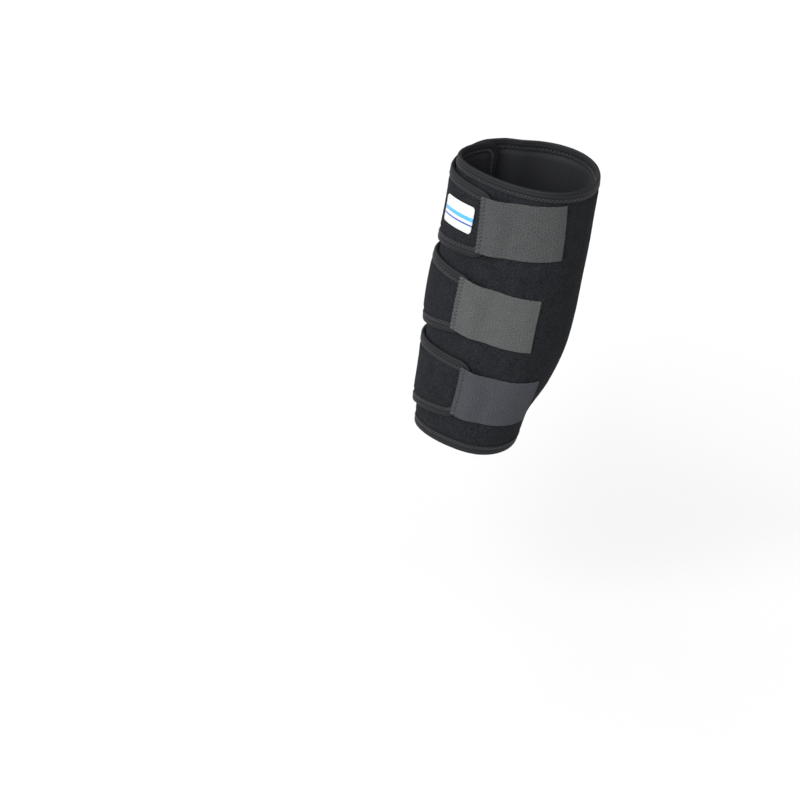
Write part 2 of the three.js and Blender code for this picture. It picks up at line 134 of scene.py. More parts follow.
def lay_round(turn, z, standoff):
    """Place in metres of points given by turns from the shin line, height and standoff."""
    turn, z, standoff = np.broadcast_arrays(turn, z, standoff)
    share = np.mod(turn, 1.0) * SHARES
    level = (z - level_heights[0]) / (level_heights[1] - level_heights[0])
    i = np.clip(np.floor(share).astype(int), 0, SHARES - 1)
    j = np.clip(np.floor(level).astype(int), 0, len(level_heights) - 2)
    a, b = share - i, level - j
    lower = (1 - a) * angle_table[j, i] + a * angle_table[j, i + 1]
    upper = (1 - a) * angle_table[j + 1, i] + a * angle_table[j + 1, i + 1]
    angle = (1 - b) * lower + b * upper
    middle, half_depth, half_width = hollow_axes(z)
    out_x = -half_width * (np.cos(angle) - EGG * np.cos(2 * angle))
    out_y = -half_depth * np.sin(angle)
    off = (standoff + soft_waves(turn, z)) / np.hypot(out_x, out_y)
    x = middle - half_depth * np.cos(angle) + out_x * off
    y = -half_width * np.sin(angle) * (1 - EGG * np.cos(angle)) + out_y * off
    return np.stack([x, y, z], axis=-1) * MM


INNER_MIDDLE = HALF_PANEL
OUTER_MIDDLE = 3 * HALF_PANEL + LAYER_GAP
CALF_TURN = float(girth(0.0)) + 2 * math.pi * OUTER_MIDDLE  # one turn of the outer layer
INNER_END = -UNDERLAP / CALF_TURN
CLIMB_END = 1 + INNER_END - (TAPE_REACH + 5) / CALF_TURN
CLIMB_START = CLIMB_END - 22 / CALF_TURN
SLOT_RADIUS = 3.5
SLOT_TURN = 1 - 28 / CALF_TURN
SLOT_END = SLOT_TURN - SLOT_RADIUS / CALF_TURN
SLOTS = (  # level, and how far the edges open above and below, per millimetre
    (0.358, 0.227, 0.0),
    (0.675, 0.115, 0.06),
)
TONGUE_REACH = (0.201, 0.163, 0.173)  # turns past the shin line, bottom to top


def layer_middle(turn):
    climbed = (turn - CLIMB_START) / (CLIMB_END - CLIMB_START)
    return INNER_MIDDLE + (OUTER_MIDDLE - INNER_MIDDLE) * smooth_step(climbed)


def slot_opening(turn, opens):
    past = (turn - SLOT_TURN) * CALF_TURN
    round_end = np.sqrt(np.clip(SLOT_RADIUS**2 - np.minimum(past, 0) ** 2, 0, None))
    return np.where(past < 0, round_end, SLOT_RADIUS + opens * past)


def straight_edges(tongue, turn):
    """Heights of a strip's upper and lower edge, before the corners are rounded."""
    past = turn - 1
    if tongue < 2:
        level, _, below = SLOTS[tongue]
        upper = share_of_height(level) - slot_opening(turn, below)
    else:
        drop = 0.041 * smooth_step((past + 0.13) / 0.15) + 0.07 * np.maximum(0, past)
        upper = share_of_height(1 - drop)
    if tongue > 0:
        level, above, _ = SLOTS[tongue - 1]
        lower = share_of_height(level) + slot_opening(turn, above)
    else:
        rise = 0.087 * smooth_step((past + 0.2) / 0.24) + 0.21 * np.maximum(0, past)
        lower = share_of_height(rise)
    return upper, lower


def corner_drop(to_end):
    inside = np.clip(PANEL_CORNER - to_end, 0, PANEL_CORNER)
    return PANEL_CORNER - np.sqrt(PANEL_CORNER**2 - inside**2)


def strip_edges(tongue, turn):
    upper, lower = straight_edges(tongue, turn)
    tip = corner_drop((1 + TONGUE_REACH[tongue] - turn) * CALF_TURN)
    end = corner_drop((turn - INNER_END) * CALF_TURN)
    return upper - tip - (end if tongue == 2 else 0), lower + tip + (end if tongue == 0 else 0)


def rounded_distance(along, across):
    a, b = PANEL_CORNER - along, PANEL_CORNER - across
    return np.where((a > 0) & (b > 0), PANEL_CORNER - np.hypot(a, b), np.minimum(along, across))


def edge_distance(tongue, turn, z):
    """Distance in the sheet from a point of a strip to the panel's edge."""
    upper, lower = straight_edges(tongue, turn)
    to_tip = (1 + TONGUE_REACH[tongue] - turn) * CALF_TURN
    to_end = (turn - INNER_END) * CALF_TURN
    to_slot = (turn - SLOT_TURN) * CALF_TURN
    distance = np.minimum(to_tip, to_end)
    for across, slot in ((upper - z, tongue), (z - lower, tongue - 1)):
        if slot in (0, 1):
            round_end = np.hypot(to_slot, z - share_of_height(SLOTS[slot][0])) - SLOT_RADIUS
            near = np.where(to_slot > 0, rounded_distance(to_tip, across), round_end)
        else:
            near = np.minimum(rounded_distance(to_tip, across), rounded_distance(to_end, across))
        distance = np.minimum(distance, near)
    return np.maximum(0, distance)


def half_thickness(distance):
    """Half the panel's thickness: squeezed flat under the tape's 8 mm, then swelling to full."""
    squeezed = 0.55 + 0.1 * np.minimum(1, distance / 8)
    return squeezed + (HALF_PANEL - squeezed) * smooth_step((distance - 7.6) / 5.4) ** 0.8


def column_turns(tongue):
    """Turns of a strip's columns: close together at the slots' ends and the corners."""
    def even(start, end, step=CLOTH_STEP):
        return np.linspace(start, end, max(2, round((end - start) * CALF_TURN / step) + 1))

    tip = 1 + TONGUE_REACH[tongue]
    corner = PANEL_CORNER / CALF_TURN
    rounding = 1 - np.cos(np.linspace(0, math.pi / 2, 9))
    return np.unique(np.round(np.concatenate([
        INNER_END + corner * rounding,
        even(INNER_END + corner, SLOT_END - 3 / CALF_TURN),
        even(SLOT_END - 3 / CALF_TURN, SLOT_END, 1),
        SLOT_END + (SLOT_TURN - SLOT_END) * (1 - np.cos(np.linspace(0, math.pi / 2, 6))),
        even(SLOT_TURN, tip - corner),
        tip - corner * rounding,
    ]), 9))


def row_shares(count, width):
    """Shares of a strip's width for its rows, closer together near both edges."""
    even = np.linspace(0, 1, count + 1)
    return even - 0.035 * np.sin(2 * math.pi * even) * np.minimum(1, 60 / width)


def grid_verts(bm, columns, rows):
    """A flat grid of faces in bm, its new vertices, and each one's column and row."""
    made = bmesh.ops.create_grid(bm, x_segments=columns, y_segments=rows, size=0.5)["verts"]
    flat = np.array([v.co[:2] for v in made]) + 0.5
    return made, np.rint(flat[:, 0] * columns).astype(int), np.rint(flat[:, 1] * rows).astype(int)


def sheet_object(name, bm, place, holes=None):
    """Gives a flat sheet its thickness, then sets each vertex by place(x, y, side). Its flat size
    in metres stays in its UV map, its needle holes in an attribute, and its inside and rim take the
    second material."""
    bmesh.ops.solidify(bm, geom=bm.faces[:], thickness=1.0)
    mesh = bpy.data.meshes.new(name)
    bm.to_mesh(mesh)
    bm.free()
    flat = np.empty(len(mesh.vertices) * 3)
    mesh.vertices.foreach_get("co", flat)
    flat = flat.reshape(-1, 3)
    outside = flat[:, 2] > flat[:, 2].mean()
    corners = np.empty(len(mesh.loops), int)
    mesh.loops.foreach_get("vertex_index", corners)
    uv = mesh.uv_layers.new(name="flat_cloth")
    uv.data.foreach_set("uv", (flat[corners, :2] * MM).ravel())
    for face in mesh.polygons:
        face.material_index = 0 if outside[list(face.vertices)].all() else 1
    if holes:
        pierced = mesh.attributes.new("pierced", "FLOAT", "POINT")
        pierced.data.foreach_set("value", holes(flat[:, 0], flat[:, 1]) * outside)
    places = place(flat[:, 0], flat[:, 1], np.where(outside, 1.0, -1.0))
    mesh.vertices.foreach_set("co", places.ravel())
    mesh.polygons.foreach_set("use_smooth", [True] * len(mesh.polygons))
    mesh.update()
    piece = bpy.data.objects.new(name, mesh)
    bpy.context.scene.collection.objects.link(piece)
    return piece


panel_bm = bmesh.new()
for tongue, rows in enumerate((48, 40, 40)):
    columns = column_turns(tongue)
    verts, column, row = grid_verts(panel_bm, len(columns) - 1, rows)
    turns = columns[column]
    upper, lower = strip_edges(tongue, turns)
    heights = lower + (upper - lower) * row_shares(rows, 90)[row]
    for vert, turn, height in zip(verts, turns, heights):
        vert.co = (turn * CALF_TURN, height, 0)
bmesh.ops.remove_doubles(panel_bm, verts=panel_bm.verts, dist=0.02)


def place_on_panel(x, z, side):
    turn = x / CALF_TURN
    distances = np.array([edge_distance(tongue, turn, z) for tongue in range(3)])
    lines = [share_of_height(level) for level, _, _ in SLOTS]
    strip = (z > lines[0]).astype(int) + (z > lines[1])
    distance = distances[strip, np.arange(len(z))]
    return lay_round(turn, z, layer_middle(turn) + side * half_thickness(distance))


panel = sheet_object("padded_panel", panel_bm, place_on_panel)


def linear(hex_colour):
    """An sRGB hex colour as linear RGBA."""
    channels = [int(hex_colour[i : i + 2], 16) / 255 for i in (1, 3, 5)]
    return tuple(c / 12.92 if c <= 0.04045 else ((c + 0.055) / 1.055) ** 2.4 for c in channels) + (1,)


def new_material(name, **settings):
    """A material, its node tree, and its shader with these sockets set."""
    material = bpy.data.materials.new(name)
    material.use_nodes = True
    shader = material.node_tree.nodes["Principled BSDF"]
    for socket, value in settings.items():
        shader.inputs[socket.replace("_", " ")].default_value = value
    return material, material.node_tree, shader


def add_node(tree, kind, settings=None, links=None):
    """A node with its properties or sockets set, and its inputs linked from other sockets."""
    node = tree.nodes.new(kind)
    for key, value in (settings or {}).items():
        if isinstance(key, str) and hasattr(node, key):
            setattr(node, key, value)
        else:
            node.inputs[key].default_value = value
    for socket, source in (links or {}).items():
        tree.links.new(source, node.inputs[socket])
    return node


# Brushed loop nylon: matt black, its short loops standing in soft tufts, with larger cloudy patches
# where the nap lies one way or the other. Real tufts are under 1 mm across; they are drawn 1.2 mm
# across so that they show.
LOOP_TUFT = 1.2
NAP_PATCH = 11.0
plush, tree, shader = new_material(
    "brushed_loop_nylon", Roughness=1.0, Sheen_Weight=0.03, Sheen_Roughness=0.55,
    Sheen_Tint=linear("#8d9096"), Specular_IOR_Level=0.04,
)
space = add_node(tree, "ShaderNodeTexCoord").outputs["Object"]
tufts = add_node(tree, "ShaderNodeTexNoise", {
    "Scale": 1 / (LOOP_TUFT * MM), "Detail": 2.0, "Roughness": 0.6}, {"Vector": space})
patches = add_node(tree, "ShaderNodeTexNoise", {
    "Scale": 1 / (NAP_PATCH * MM), "Detail": 2.0}, {"Vector": space})
mixed = add_node(tree, "ShaderNodeMath", {"operation": "MULTIPLY_ADD", 1: 0.2}, {
    0: patches.outputs["Fac"], 2: tufts.outputs["Fac"]})
shade = add_node(tree, "ShaderNodeValToRGB", None, {"Fac": mixed.outputs[0]})
shade.color_ramp.elements[0].position = 0.42
shade.color_ramp.elements[0].color = linear("#101113")
shade.color_ramp.elements[1].position = 0.8
shade.color_ramp.elements[1].color = linear("#252629")
tree.links.new(shade.outputs["Color"], shader.inputs["Base Color"])
nap = add_node(tree, "ShaderNodeBump", {"Strength": 0.8, "Distance": 0.5 * MM}, {
    "Height": tufts.outputs["Fac"]})
tree.links.new(nap.outputs["Normal"], shader.inputs["Normal"])

# Nylon jersey: a fine smooth knit with upright ribs of stitches, slightly silky. The ribs are
# drawn 0.9 mm apart, coarser than the real 0.5 mm, so that they show.
KNIT_RIB = 0.9
jersey, tree, shader = new_material(
    "nylon_jersey", Roughness=0.7, Sheen_Weight=0.15, Sheen_Roughness=0.4,
    Sheen_Tint=linear("#8d9096"), Specular_IOR_Level=0.3,
)
flat_cloth = add_node(tree, "ShaderNodeUVMap", {"uv_map": "flat_cloth"}).outputs["UV"]
ribs = add_node(tree, "ShaderNodeTexWave", {
    "Scale": 0.1 / (KNIT_RIB * MM), "Distortion": 0.6, "Detail": 1.0,
    "Detail Scale": 2.0}, {"Vector": flat_cloth})
shade = add_node(tree, "ShaderNodeValToRGB", None, {"Fac": ribs.outputs["Fac"]})
shade.color_ramp.elements[0].color = linear("#131416")
shade.color_ramp.elements[1].color = linear("#191a1d")
tree.links.new(shade.outputs["Color"], shader.inputs["Base Color"])
knit = add_node(tree, "ShaderNodeBump", {"Strength": 0.35, "Distance": 0.15 * MM}, {
    "Height": ribs.outputs["Fac"]})
tree.links.new(knit.outputs["Normal"], shader.inputs["Normal"])

panel.data.materials.append(plush)
panel.data.materials.append(jersey)
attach(panel, "root")
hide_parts("wrap_panel")


# Edge binding
# A smooth knitted nylon tape folded over the panel's whole raw edge, the slots included, and sewn
# through with one run of zigzag stitches in black polyester thread near its inner edges.
TAPE_THICKNESS = 0.85
STITCH_PITCH = 4.2  # one zig and one zag
TAPE_STEP = STITCH_PITCH / 6  # spacing along the edge
STITCH_WIDTH = 2.8
STITCH_LINE = 5.9  # its middle, from the panel's edge
THREAD = 0.56  # its diameter, thicker than real thread so that it shows


def panel_outline():
    """The panel's edge as turns and heights, with the panel on its left seen from outside."""
    fine = [np.unique(np.concatenate([column_turns(t), np.linspace(SLOT_END, SLOT_TURN, 60)]))
            for t in range(3)]
    body = fine[0][fine[0] < SLOT_END - 1e-6]
    path = [(turn, strip_edges(0, turn)[1]) for turn in body]
    for tongue in range(3):
        turns = fine[tongue][fine[tongue] >= SLOT_END - 1e-6]
        upper, lower = strip_edges(tongue, turns)
        path += list(zip(turns, lower)) + list(zip(turns[::-1], upper[::-1]))
    path += [(turn, strip_edges(2, turn)[0]) for turn in body[::-1]]
    return np.array(path)


def even_loop(path, step):
    """Evenly spaced points of a closed flat path, whose number is a multiple of six."""
    closed = np.vstack([path, path[:1]])
    lengths = np.hypot(np.diff(closed[:, 0]) * CALF_TURN, np.diff(closed[:, 1]))
    along = np.concatenate([[0], np.cumsum(lengths)])
    keep = np.concatenate([[True], lengths > 1e-6])
    count = 6 * round(along[-1] / step / 6)
    at = np.linspace(0, along[-1], count + 1)
    return np.stack([np.interp(at, along[keep], closed[keep, k]) for k in (0, 1)], axis=1), at


edge, along_edge = even_loop(panel_outline(), TAPE_STEP)
ahead = np.roll(edge[:-1], -2, axis=0) - np.roll(edge[:-1], 2, axis=0)
ahead[:, 0] *= CALF_TURN
ahead /= np.hypot(ahead[:, 0], ahead[:, 1])[:, None]
inward = np.stack([-ahead[:, 1], ahead[:, 0]], axis=1)
inward = np.vstack([inward, inward[:1]])


def place_by_edge(index, into, off):
    """A place so far into the panel from its edge and off its middle, at one step of the edge."""
    steps = np.arange(len(edge))
    turn, z, in_x, in_z = (np.interp(index, steps, part) for part in (*edge.T, *inward.T))
    return lay_round(turn + in_x * into / CALF_TURN, z + in_z * into, layer_middle(turn) + off)


# The tape's section, outer face first, as distances into the panel and off its middle. Each
# face is 8 mm wide, and dips where the stitches pull it in.
tape_out = 0.95 + TAPE_THICKNESS
section_into = np.array([7.5, 8.0, 7.9, 7.2, 6.6, 5.9, 5.2, 4.5, 3.2, 1.6, 0.2, -0.8, -1.35, -1.5])
section_off = np.array([0.9, 1.15, 1.6, tape_out, 1.72, 1.62, 1.72, tape_out, 1.86, 1.84, 1.66,
                        1.2, 0.6, 0.0])
section_into = np.concatenate([section_into, section_into[-2::-1], [3.0, -0.4, -0.4, 3.0, 7.5]])
section_off = np.concatenate([section_off, -section_off[-2::-1], [-0.85, -0.8, 0.8, 0.85, 0.9]])

tape_bm = bmesh.new()
hole_layer = tape_bm.verts.layers.float.new("pierced")
verts, column, row = grid_verts(tape_bm, len(edge) - 1, len(section_into) - 1)
pucker = np.exp(-(((section_into[row] - STITCH_LINE) / 1.6) ** 2)) * np.sign(section_off[row])
wave = np.cos(2 * math.pi * column / 3)
outer = np.abs(section_off[row]) > 1.5
# Needle holes: the tape dips at each one, and its colour there is darkened as painted shade.
pierced = np.zeros(len(column))
for step, hole in ((0, STITCH_LINE + STITCH_WIDTH / 2), (3, STITCH_LINE - STITCH_WIDTH / 2)):
    near = np.exp(-(((section_into[row] - hole) / 0.6) ** 2))
    pierced += near * outer * np.take([1, 0.35, 0, 0, 0, 0.35], (column - step) % 6)
raised = 0.07 * np.abs(pucker) * wave * outer - 0.4 * pierced
off = section_off[row] + np.sign(section_off[row]) * raised
for vert, depth in zip(verts, pierced):
    vert[hole_layer] = depth
for vert, place in zip(verts, place_by_edge(column, section_into[row], off)):
    vert.co = place
uv_layer = tape_bm.loops.layers.uv.new("tape_length")
around_tape = np.concatenate([[0], np.cumsum(np.hypot(np.diff(section_into), np.diff(section_off)))])
flat_of = {v: (along_edge[c] * MM, around_tape[r] * MM) for v, c, r in zip(verts, column, row)}
for face in tape_bm.faces:
    face.smooth = True
    for loop in face.loops:
        loop[uv_layer].uv = flat_of[loop.vert]
bmesh.ops.remove_doubles(tape_bm, verts=tape_bm.verts, dist=0.01 * MM)
tape_mesh = bpy.data.meshes.new("edge_tape")
bmesh.ops.recalc_face_normals(tape_bm, faces=tape_bm.faces)
tape_bm.to_mesh(tape_mesh)
tape_bm.free()
tape = bpy.data.objects.new("edge_tape", tape_mesh)
bpy.context.scene.collection.objects.link(tape)


def painted_hole_shade(tree, colour):
    """The colour with painted shade at the needle holes: nearly black where a needle has pierced the
    cloth.
    """
    pierced = add_node(tree, "ShaderNodeAttribute", {"attribute_name": "pierced"}).outputs["Fac"]
    mix = add_node(tree, "ShaderNodeMix", {"data_type": "RGBA", "B": linear("#050506")}, {"A": colour})
    tree.links.new(pierced, mix.inputs["Factor"])
    return mix.outputs["Result"]


# Knitted nylon tape: closer and smoother than the panel's faces, so it catches more light. Its
# courses run along it, drawn 0.9 mm apart.
TAPE_COURSE = 0.9
tape_nylon, tree, shader = new_material(
    "knitted_nylon_tape", Roughness=0.7, Sheen_Weight=0.08, Sheen_Roughness=0.4,
    Sheen_Tint=linear("#9a9ca2"), Specular_IOR_Level=0.15,
)
tape_length = add_node(tree, "ShaderNodeUVMap", {"uv_map": "tape_length"}).outputs["UV"]
courses = add_node(tree, "ShaderNodeTexWave", {
    "bands_direction": "Y", "Scale": 0.1 / (TAPE_COURSE * MM), "Distortion": 1.2,
    "Detail": 2.0, "Detail Scale": 1.5}, {"Vector": tape_length})
shade = add_node(tree, "ShaderNodeValToRGB", None, {"Fac": courses.outputs["Fac"]})
shade.color_ramp.elements[0].color = linear("#101113")
shade.color_ramp.elements[1].color = linear("#1e1f22")
# Painted shade darkens the tape at its needle holes.
tree.links.new(painted_hole_shade(tree, shade.outputs["Color"]), shader.inputs["Base Color"])
knit = add_node(tree, "ShaderNodeBump", {"Strength": 0.45, "Distance": 0.15 * MM}, {
    "Height": courses.outputs["Fac"]})
tree.links.new(knit.outputs["Normal"], shader.inputs["Normal"])
tape.data.materials.append(tape_nylon)
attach(tape, "root")
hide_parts("edge_binding")


def thread_object(name, runs, diameter):
    """Thread through each run of points, as one mesh."""
    curve = bpy.data.curves.new(name, "CURVE")
    curve.dimensions = "3D"
    curve.bevel_depth = diameter * MM / 2
    curve.bevel_resolution = 1
    for points, closed in runs:
        spline = curve.splines.new("POLY")
        spline.points.add(len(points) - 1)
        spline.points.foreach_set("co", np.hstack([points, np.ones((len(points), 1))]).ravel())
        spline.use_cyclic_u = closed
    rope = bpy.data.objects.new(name + "_curve", curve)
    bpy.context.scene.collection.objects.link(rope)
    mesh = bpy.data.meshes.new_from_object(rope.evaluated_get(bpy.context.evaluated_depsgraph_get()))
    mesh.name = name
    bpy.data.objects.remove(rope)
    mesh.polygons.foreach_set("use_smooth", [True] * len(mesh.polygons))
    piece = bpy.data.objects.new(name, mesh)
    bpy.context.scene.collection.objects.link(piece)
    return piece


# Each stitch runs straight from hole to hole and dips into the tape at both.
stitches = (len(edge) - 1) // 3  # zigs and zags, one for three steps of the tape
steps = np.arange(4 * stitches)
zigzag = np.abs(np.mod(steps / 4, 2) - 1) - 0.5
into = STITCH_LINE + STITCH_WIDTH * zigzag
index = steps / (4 * stitches) * (len(edge) - 1)
lift = np.take([-0.35, 0.1, 0.16, 0.1], steps % 4)
runs = [(place_by_edge(index, into, side * (1.7 + lift)), True) for side in (1, -1)]
binding_thread = thread_object("binding_stitches", runs, THREAD)

# Spun polyester thread: black and slightly shiny, a little lighter than the tape it is sewn in.
# Its twist is drawn 1 mm long.
thread_black, tree, shader = new_material(
    "black_polyester_thread", Roughness=0.55, Specular_IOR_Level=0.3, Sheen_Weight=0.05)
space = add_node(tree, "ShaderNodeTexCoord").outputs["Object"]
twist = add_node(tree, "ShaderNodeTexNoise", {"Scale": 1 / MM, "Detail": 1.0}, {"Vector": space})
shade = add_node(tree, "ShaderNodeValToRGB", None, {"Fac": twist.outputs["Fac"]})
shade.color_ramp.elements[0].color = linear("#1c1d1f")
shade.color_ramp.elements[1].color = linear("#3b3c40")
tree.links.new(shade.outputs["Color"], shader.inputs["Base Color"])
binding_thread.data.materials.append(thread_black)
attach(binding_thread, "root")


# Hook tabs
# Three grey hook-tape tabs, each sewn across a tongue's end with zigzag stitches. Past the tongue
# they lie on the panel, where the moulded hooks on their inner side hold in its loops.
TAB_WIDTH = 50.0
TAB_THICKNESS = 1.3
TAB_CORNER = 1.0
TAB_DROP = 18.0  # over which a tab comes down from its tongue's end
TABS = (  # start in turns, length, level of the sewn end's middle, rise, sag, lean, dark, light grey; the greys differ from tab to tab as painted light and shade
    ("bottom", 0.178, 73.92, 0.2373, -0.077, 1.7, 0.047, "#2d2e32", "#424348"),
    ("middle", 0.1266, 77.0, 0.5505, -0.068, 0.7, 0.0, "#353736", "#4f5151"),
    ("top", 0.1451, 77.0, 0.8425, 0.086, 0.0, 0.07, "#2e3030", "#474949"),
)
TAB_STITCH_WIDTH = 3.7
TAB_SEAM = 2.6  # the stitches' middle, in from the tab's end
TAB_ZIGS = 28
TAB_HOLE = 1.05  # a needle hole's dip and its painted shade, drawn wider than the real 0.5, so that it shows
ON_TONGUE = OUTER_MIDDLE + HALF_PANEL + LAYER_GAP
ON_PANEL = INNER_MIDDLE + HALF_PANEL + LAYER_GAP


def place_on_tab(tongue, along, across, height):
    """A place so far along and across a tab, and above its inner face."""
    _, start, length, level, rise, sag, lean, *_ = TABS[tongue]
    share = along / length
    z = share_of_height(level) + rise * along - sag * 4 * share * (1 - share) + across
    leant = along - lean * across
    turn = start + leant / (girth(z) + 2 * math.pi * OUTER_MIDDLE)
    level_girth = girth(share_of_height(level)) + 2 * math.pi * OUTER_MIDDLE
    tongue_end = (TONGUE_REACH[tongue] - start) * level_girth + TAPE_REACH + 2.5
    dropped = smooth_step((leant - tongue_end) / TAB_DROP)
    return lay_round(turn, z, ON_TONGUE + (ON_PANEL - ON_TONGUE) * dropped + height)


def tab_holes(along, across):
    """1 at the middle of a needle hole of a tab's zigzag stitches, fading to 0 round it."""
    pitch = (TAB_WIDTH - 3) / TAB_ZIGS
    zig = (across + TAB_WIDTH / 2 - 1.5) / pitch
    nearest = np.clip(np.rint(zig), 0, TAB_ZIGS)
    side = np.where(nearest % 2 == 0, 0.5, -0.5) * TAB_STITCH_WIDTH
    return np.exp(-(((along - TAB_SEAM - side) ** 2 + ((zig - nearest) * pitch) ** 2) / TAB_HOLE**2) * 2)


def rounded_patch(length, width, corner, thickness, steps, place, fine=0.0):
    """A patch cut with rounded corners and slightly rounded edges, laid by place(x, y, height). The
    steps are along and across it, and its first part up to fine has columns 0.4 mm apart."""
    def rows(size, step):
        rim = corner * (1 - np.cos(np.linspace(0, math.pi / 2, 5)))
        middle = np.linspace(corner, size - corner, round((size - 2 * corner) / step) + 1)
        return np.unique(np.round(np.concatenate([[0, 0.25], rim, middle, size - rim,
                                                  [size - 0.25]]), 6))

    bm = bmesh.new()
    xs, ys = rows(length, steps[0]), rows(width, steps[1]) - width / 2
    if fine:
        xs = np.unique(np.concatenate([xs[xs < corner], np.arange(corner, fine, 0.4), xs[xs > fine]]))
    verts, column, row = grid_verts(bm, len(xs) - 1, len(ys) - 1)
    past = np.maximum(0, np.abs(ys[row]) - (width / 2 - corner))
    inset = corner - np.sqrt(corner**2 - past**2)
    x = inset + (length - 2 * inset) * xs[column] / length
    for vert, along, across in zip(verts, x, ys[row]):
        vert.co = (along, across, 0)

    def place_patch(x, y, side):
        to_edge = np.minimum(np.minimum(x, length - x), width / 2 - np.abs(y))
        inset = corner - np.sqrt(corner**2 - np.maximum(0, np.abs(y) - (width / 2 - corner)) ** 2)
        to_edge = np.minimum(to_edge, np.minimum(x - inset, length - inset - x))
        softened = 0.5 * thickness * (1 - smooth_step(to_edge / 0.3)) * 0.55
        return place(x, y, np.where(side > 0, thickness - softened, softened))

    return bm, place_patch


# Woven hook tape: a fine speckle of lighter threads about 0.9 mm across over faint weft ribs 0.9 mm
# apart, matt and slightly fuzzy, with slow changes of shade where it is worn.
SPECKLE = 0.9
WEFT = 0.9
WORN_PATCH = 12.0
for tongue, (name, _, length, *_, dark, light) in enumerate(TABS):
    def place_sewn(along, across, height, hole_depth=0.4):
        pulled = 0.15 * np.exp(-(((along - TAB_SEAM) / 1.8) ** 2))
        pulled = pulled + hole_depth * tab_holes(along, across)
        return place_on_tab(tongue, along, across, height - pulled * (height > TAB_THICKNESS / 2))

    bm, place_patch = rounded_patch(
        length, TAB_WIDTH, TAB_CORNER, TAB_THICKNESS, (1.8, 0.42), place_sewn, fine=6.0)
    tab = sheet_object("hook_tape_" + name, bm, place_patch, tab_holes)
    # Each tab has its own copy of the tape material in its own greys. These are painted light and shade,
    # and the middle tab is painted lighter than the other two.
    hook_nylon, tree, shader = new_material(
        "woven_hook_tape_" + name, Roughness=0.95, Sheen_Weight=0.02, Sheen_Roughness=0.5,
        Specular_IOR_Level=0.05)
    flat_cloth = add_node(tree, "ShaderNodeUVMap", {"uv_map": "flat_cloth"}).outputs["UV"]
    weft = add_node(tree, "ShaderNodeTexWave", {
        "Scale": 0.1 / (WEFT * MM), "Distortion": 1.5, "Detail": 2.0, "Detail Scale": 2.5},
        {"Vector": flat_cloth})
    specks = add_node(tree, "ShaderNodeTexNoise", {
        "Scale": 1 / (SPECKLE * MM), "Detail": 1.0, "Roughness": 0.5}, {"Vector": flat_cloth})
    worn = add_node(tree, "ShaderNodeTexNoise", {
        "Scale": 1 / (WORN_PATCH * MM), "Detail": 1.0}, {"Vector": flat_cloth})
    woven = add_node(tree, "ShaderNodeMath", {"operation": "MULTIPLY_ADD", 1: 0.04}, {
        0: weft.outputs["Fac"], 2: specks.outputs["Fac"]})
    mixed = add_node(tree, "ShaderNodeMath", {"operation": "MULTIPLY_ADD", 1: 0.12}, {
        0: worn.outputs["Fac"], 2: woven.outputs[0]})
    shade = add_node(tree, "ShaderNodeValToRGB", None, {"Fac": mixed.outputs[0]})
    shade.color_ramp.elements[0].position = 0.4
    shade.color_ramp.elements[0].color = linear(dark)
    shade.color_ramp.elements[1].position = 0.74
    shade.color_ramp.elements[1].color = linear(light)
    # Painted shade darkens the tab at its needle holes.
    tree.links.new(painted_hole_shade(tree, shade.outputs["Color"]), shader.inputs["Base Color"])
    weave = add_node(tree, "ShaderNodeBump", {"Strength": 0.5, "Distance": 0.15 * MM}, {
        "Height": woven.outputs[0]})
    tree.links.new(weave.outputs["Normal"], shader.inputs["Normal"])
    tab.data.materials.append(hook_nylon)
    tab.data.materials.append(hook_nylon)
    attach(tab, "root")
    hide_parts("hook_tab_" + name)

    steps = np.arange(4 * TAB_ZIGS + 1)
    across = -TAB_WIDTH / 2 + 1.5 + (TAB_WIDTH - 3) * steps / (4 * TAB_ZIGS)
    along = TAB_SEAM + TAB_STITCH_WIDTH * (np.abs(np.mod(steps / 4, 2) - 1) - 0.5)
    lift = np.take([-0.4, 0.0, 0.1, 0.0], steps % 4)
    points = place_sewn(along, across, TAB_THICKNESS + lift, hole_depth=0)
    sewn = thread_object("tab_stitches_" + name, [(points, False)], THREAD)
    sewn.data.materials.append(thread_black)
    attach(sewn, "root")


# Label
# A white satin label with rounded corners, sewn round its edge to the top tongue. It is plain but
# for two blue bands woven across it.
LABEL_LENGTH = 37.0
LABEL_HEIGHT = 24.5
LABEL_CORNER = 3.0
LABEL_THICKNESS = 1.0
LABEL_START = 0.032
LABEL_LEVEL = 0.836
LABEL_RISE = 0.04
LABEL_SEAM = 1.4  # its stitches, in from its edge
LABEL_STITCH = 2.4


def place_on_label(along, across, height):
    z = share_of_height(LABEL_LEVEL) + LABEL_RISE * along + across
    turn = LABEL_START + along / (girth(z) + 2 * math.pi * OUTER_MIDDLE)
    return lay_round(turn, z, ON_TONGUE - 0.25 + height)


bm, place_patch = rounded_patch(
    LABEL_LENGTH, LABEL_HEIGHT, LABEL_CORNER, LABEL_THICKNESS, (1.2, 1.2), place_on_label)
label = sheet_object("satin_label", bm, place_patch)

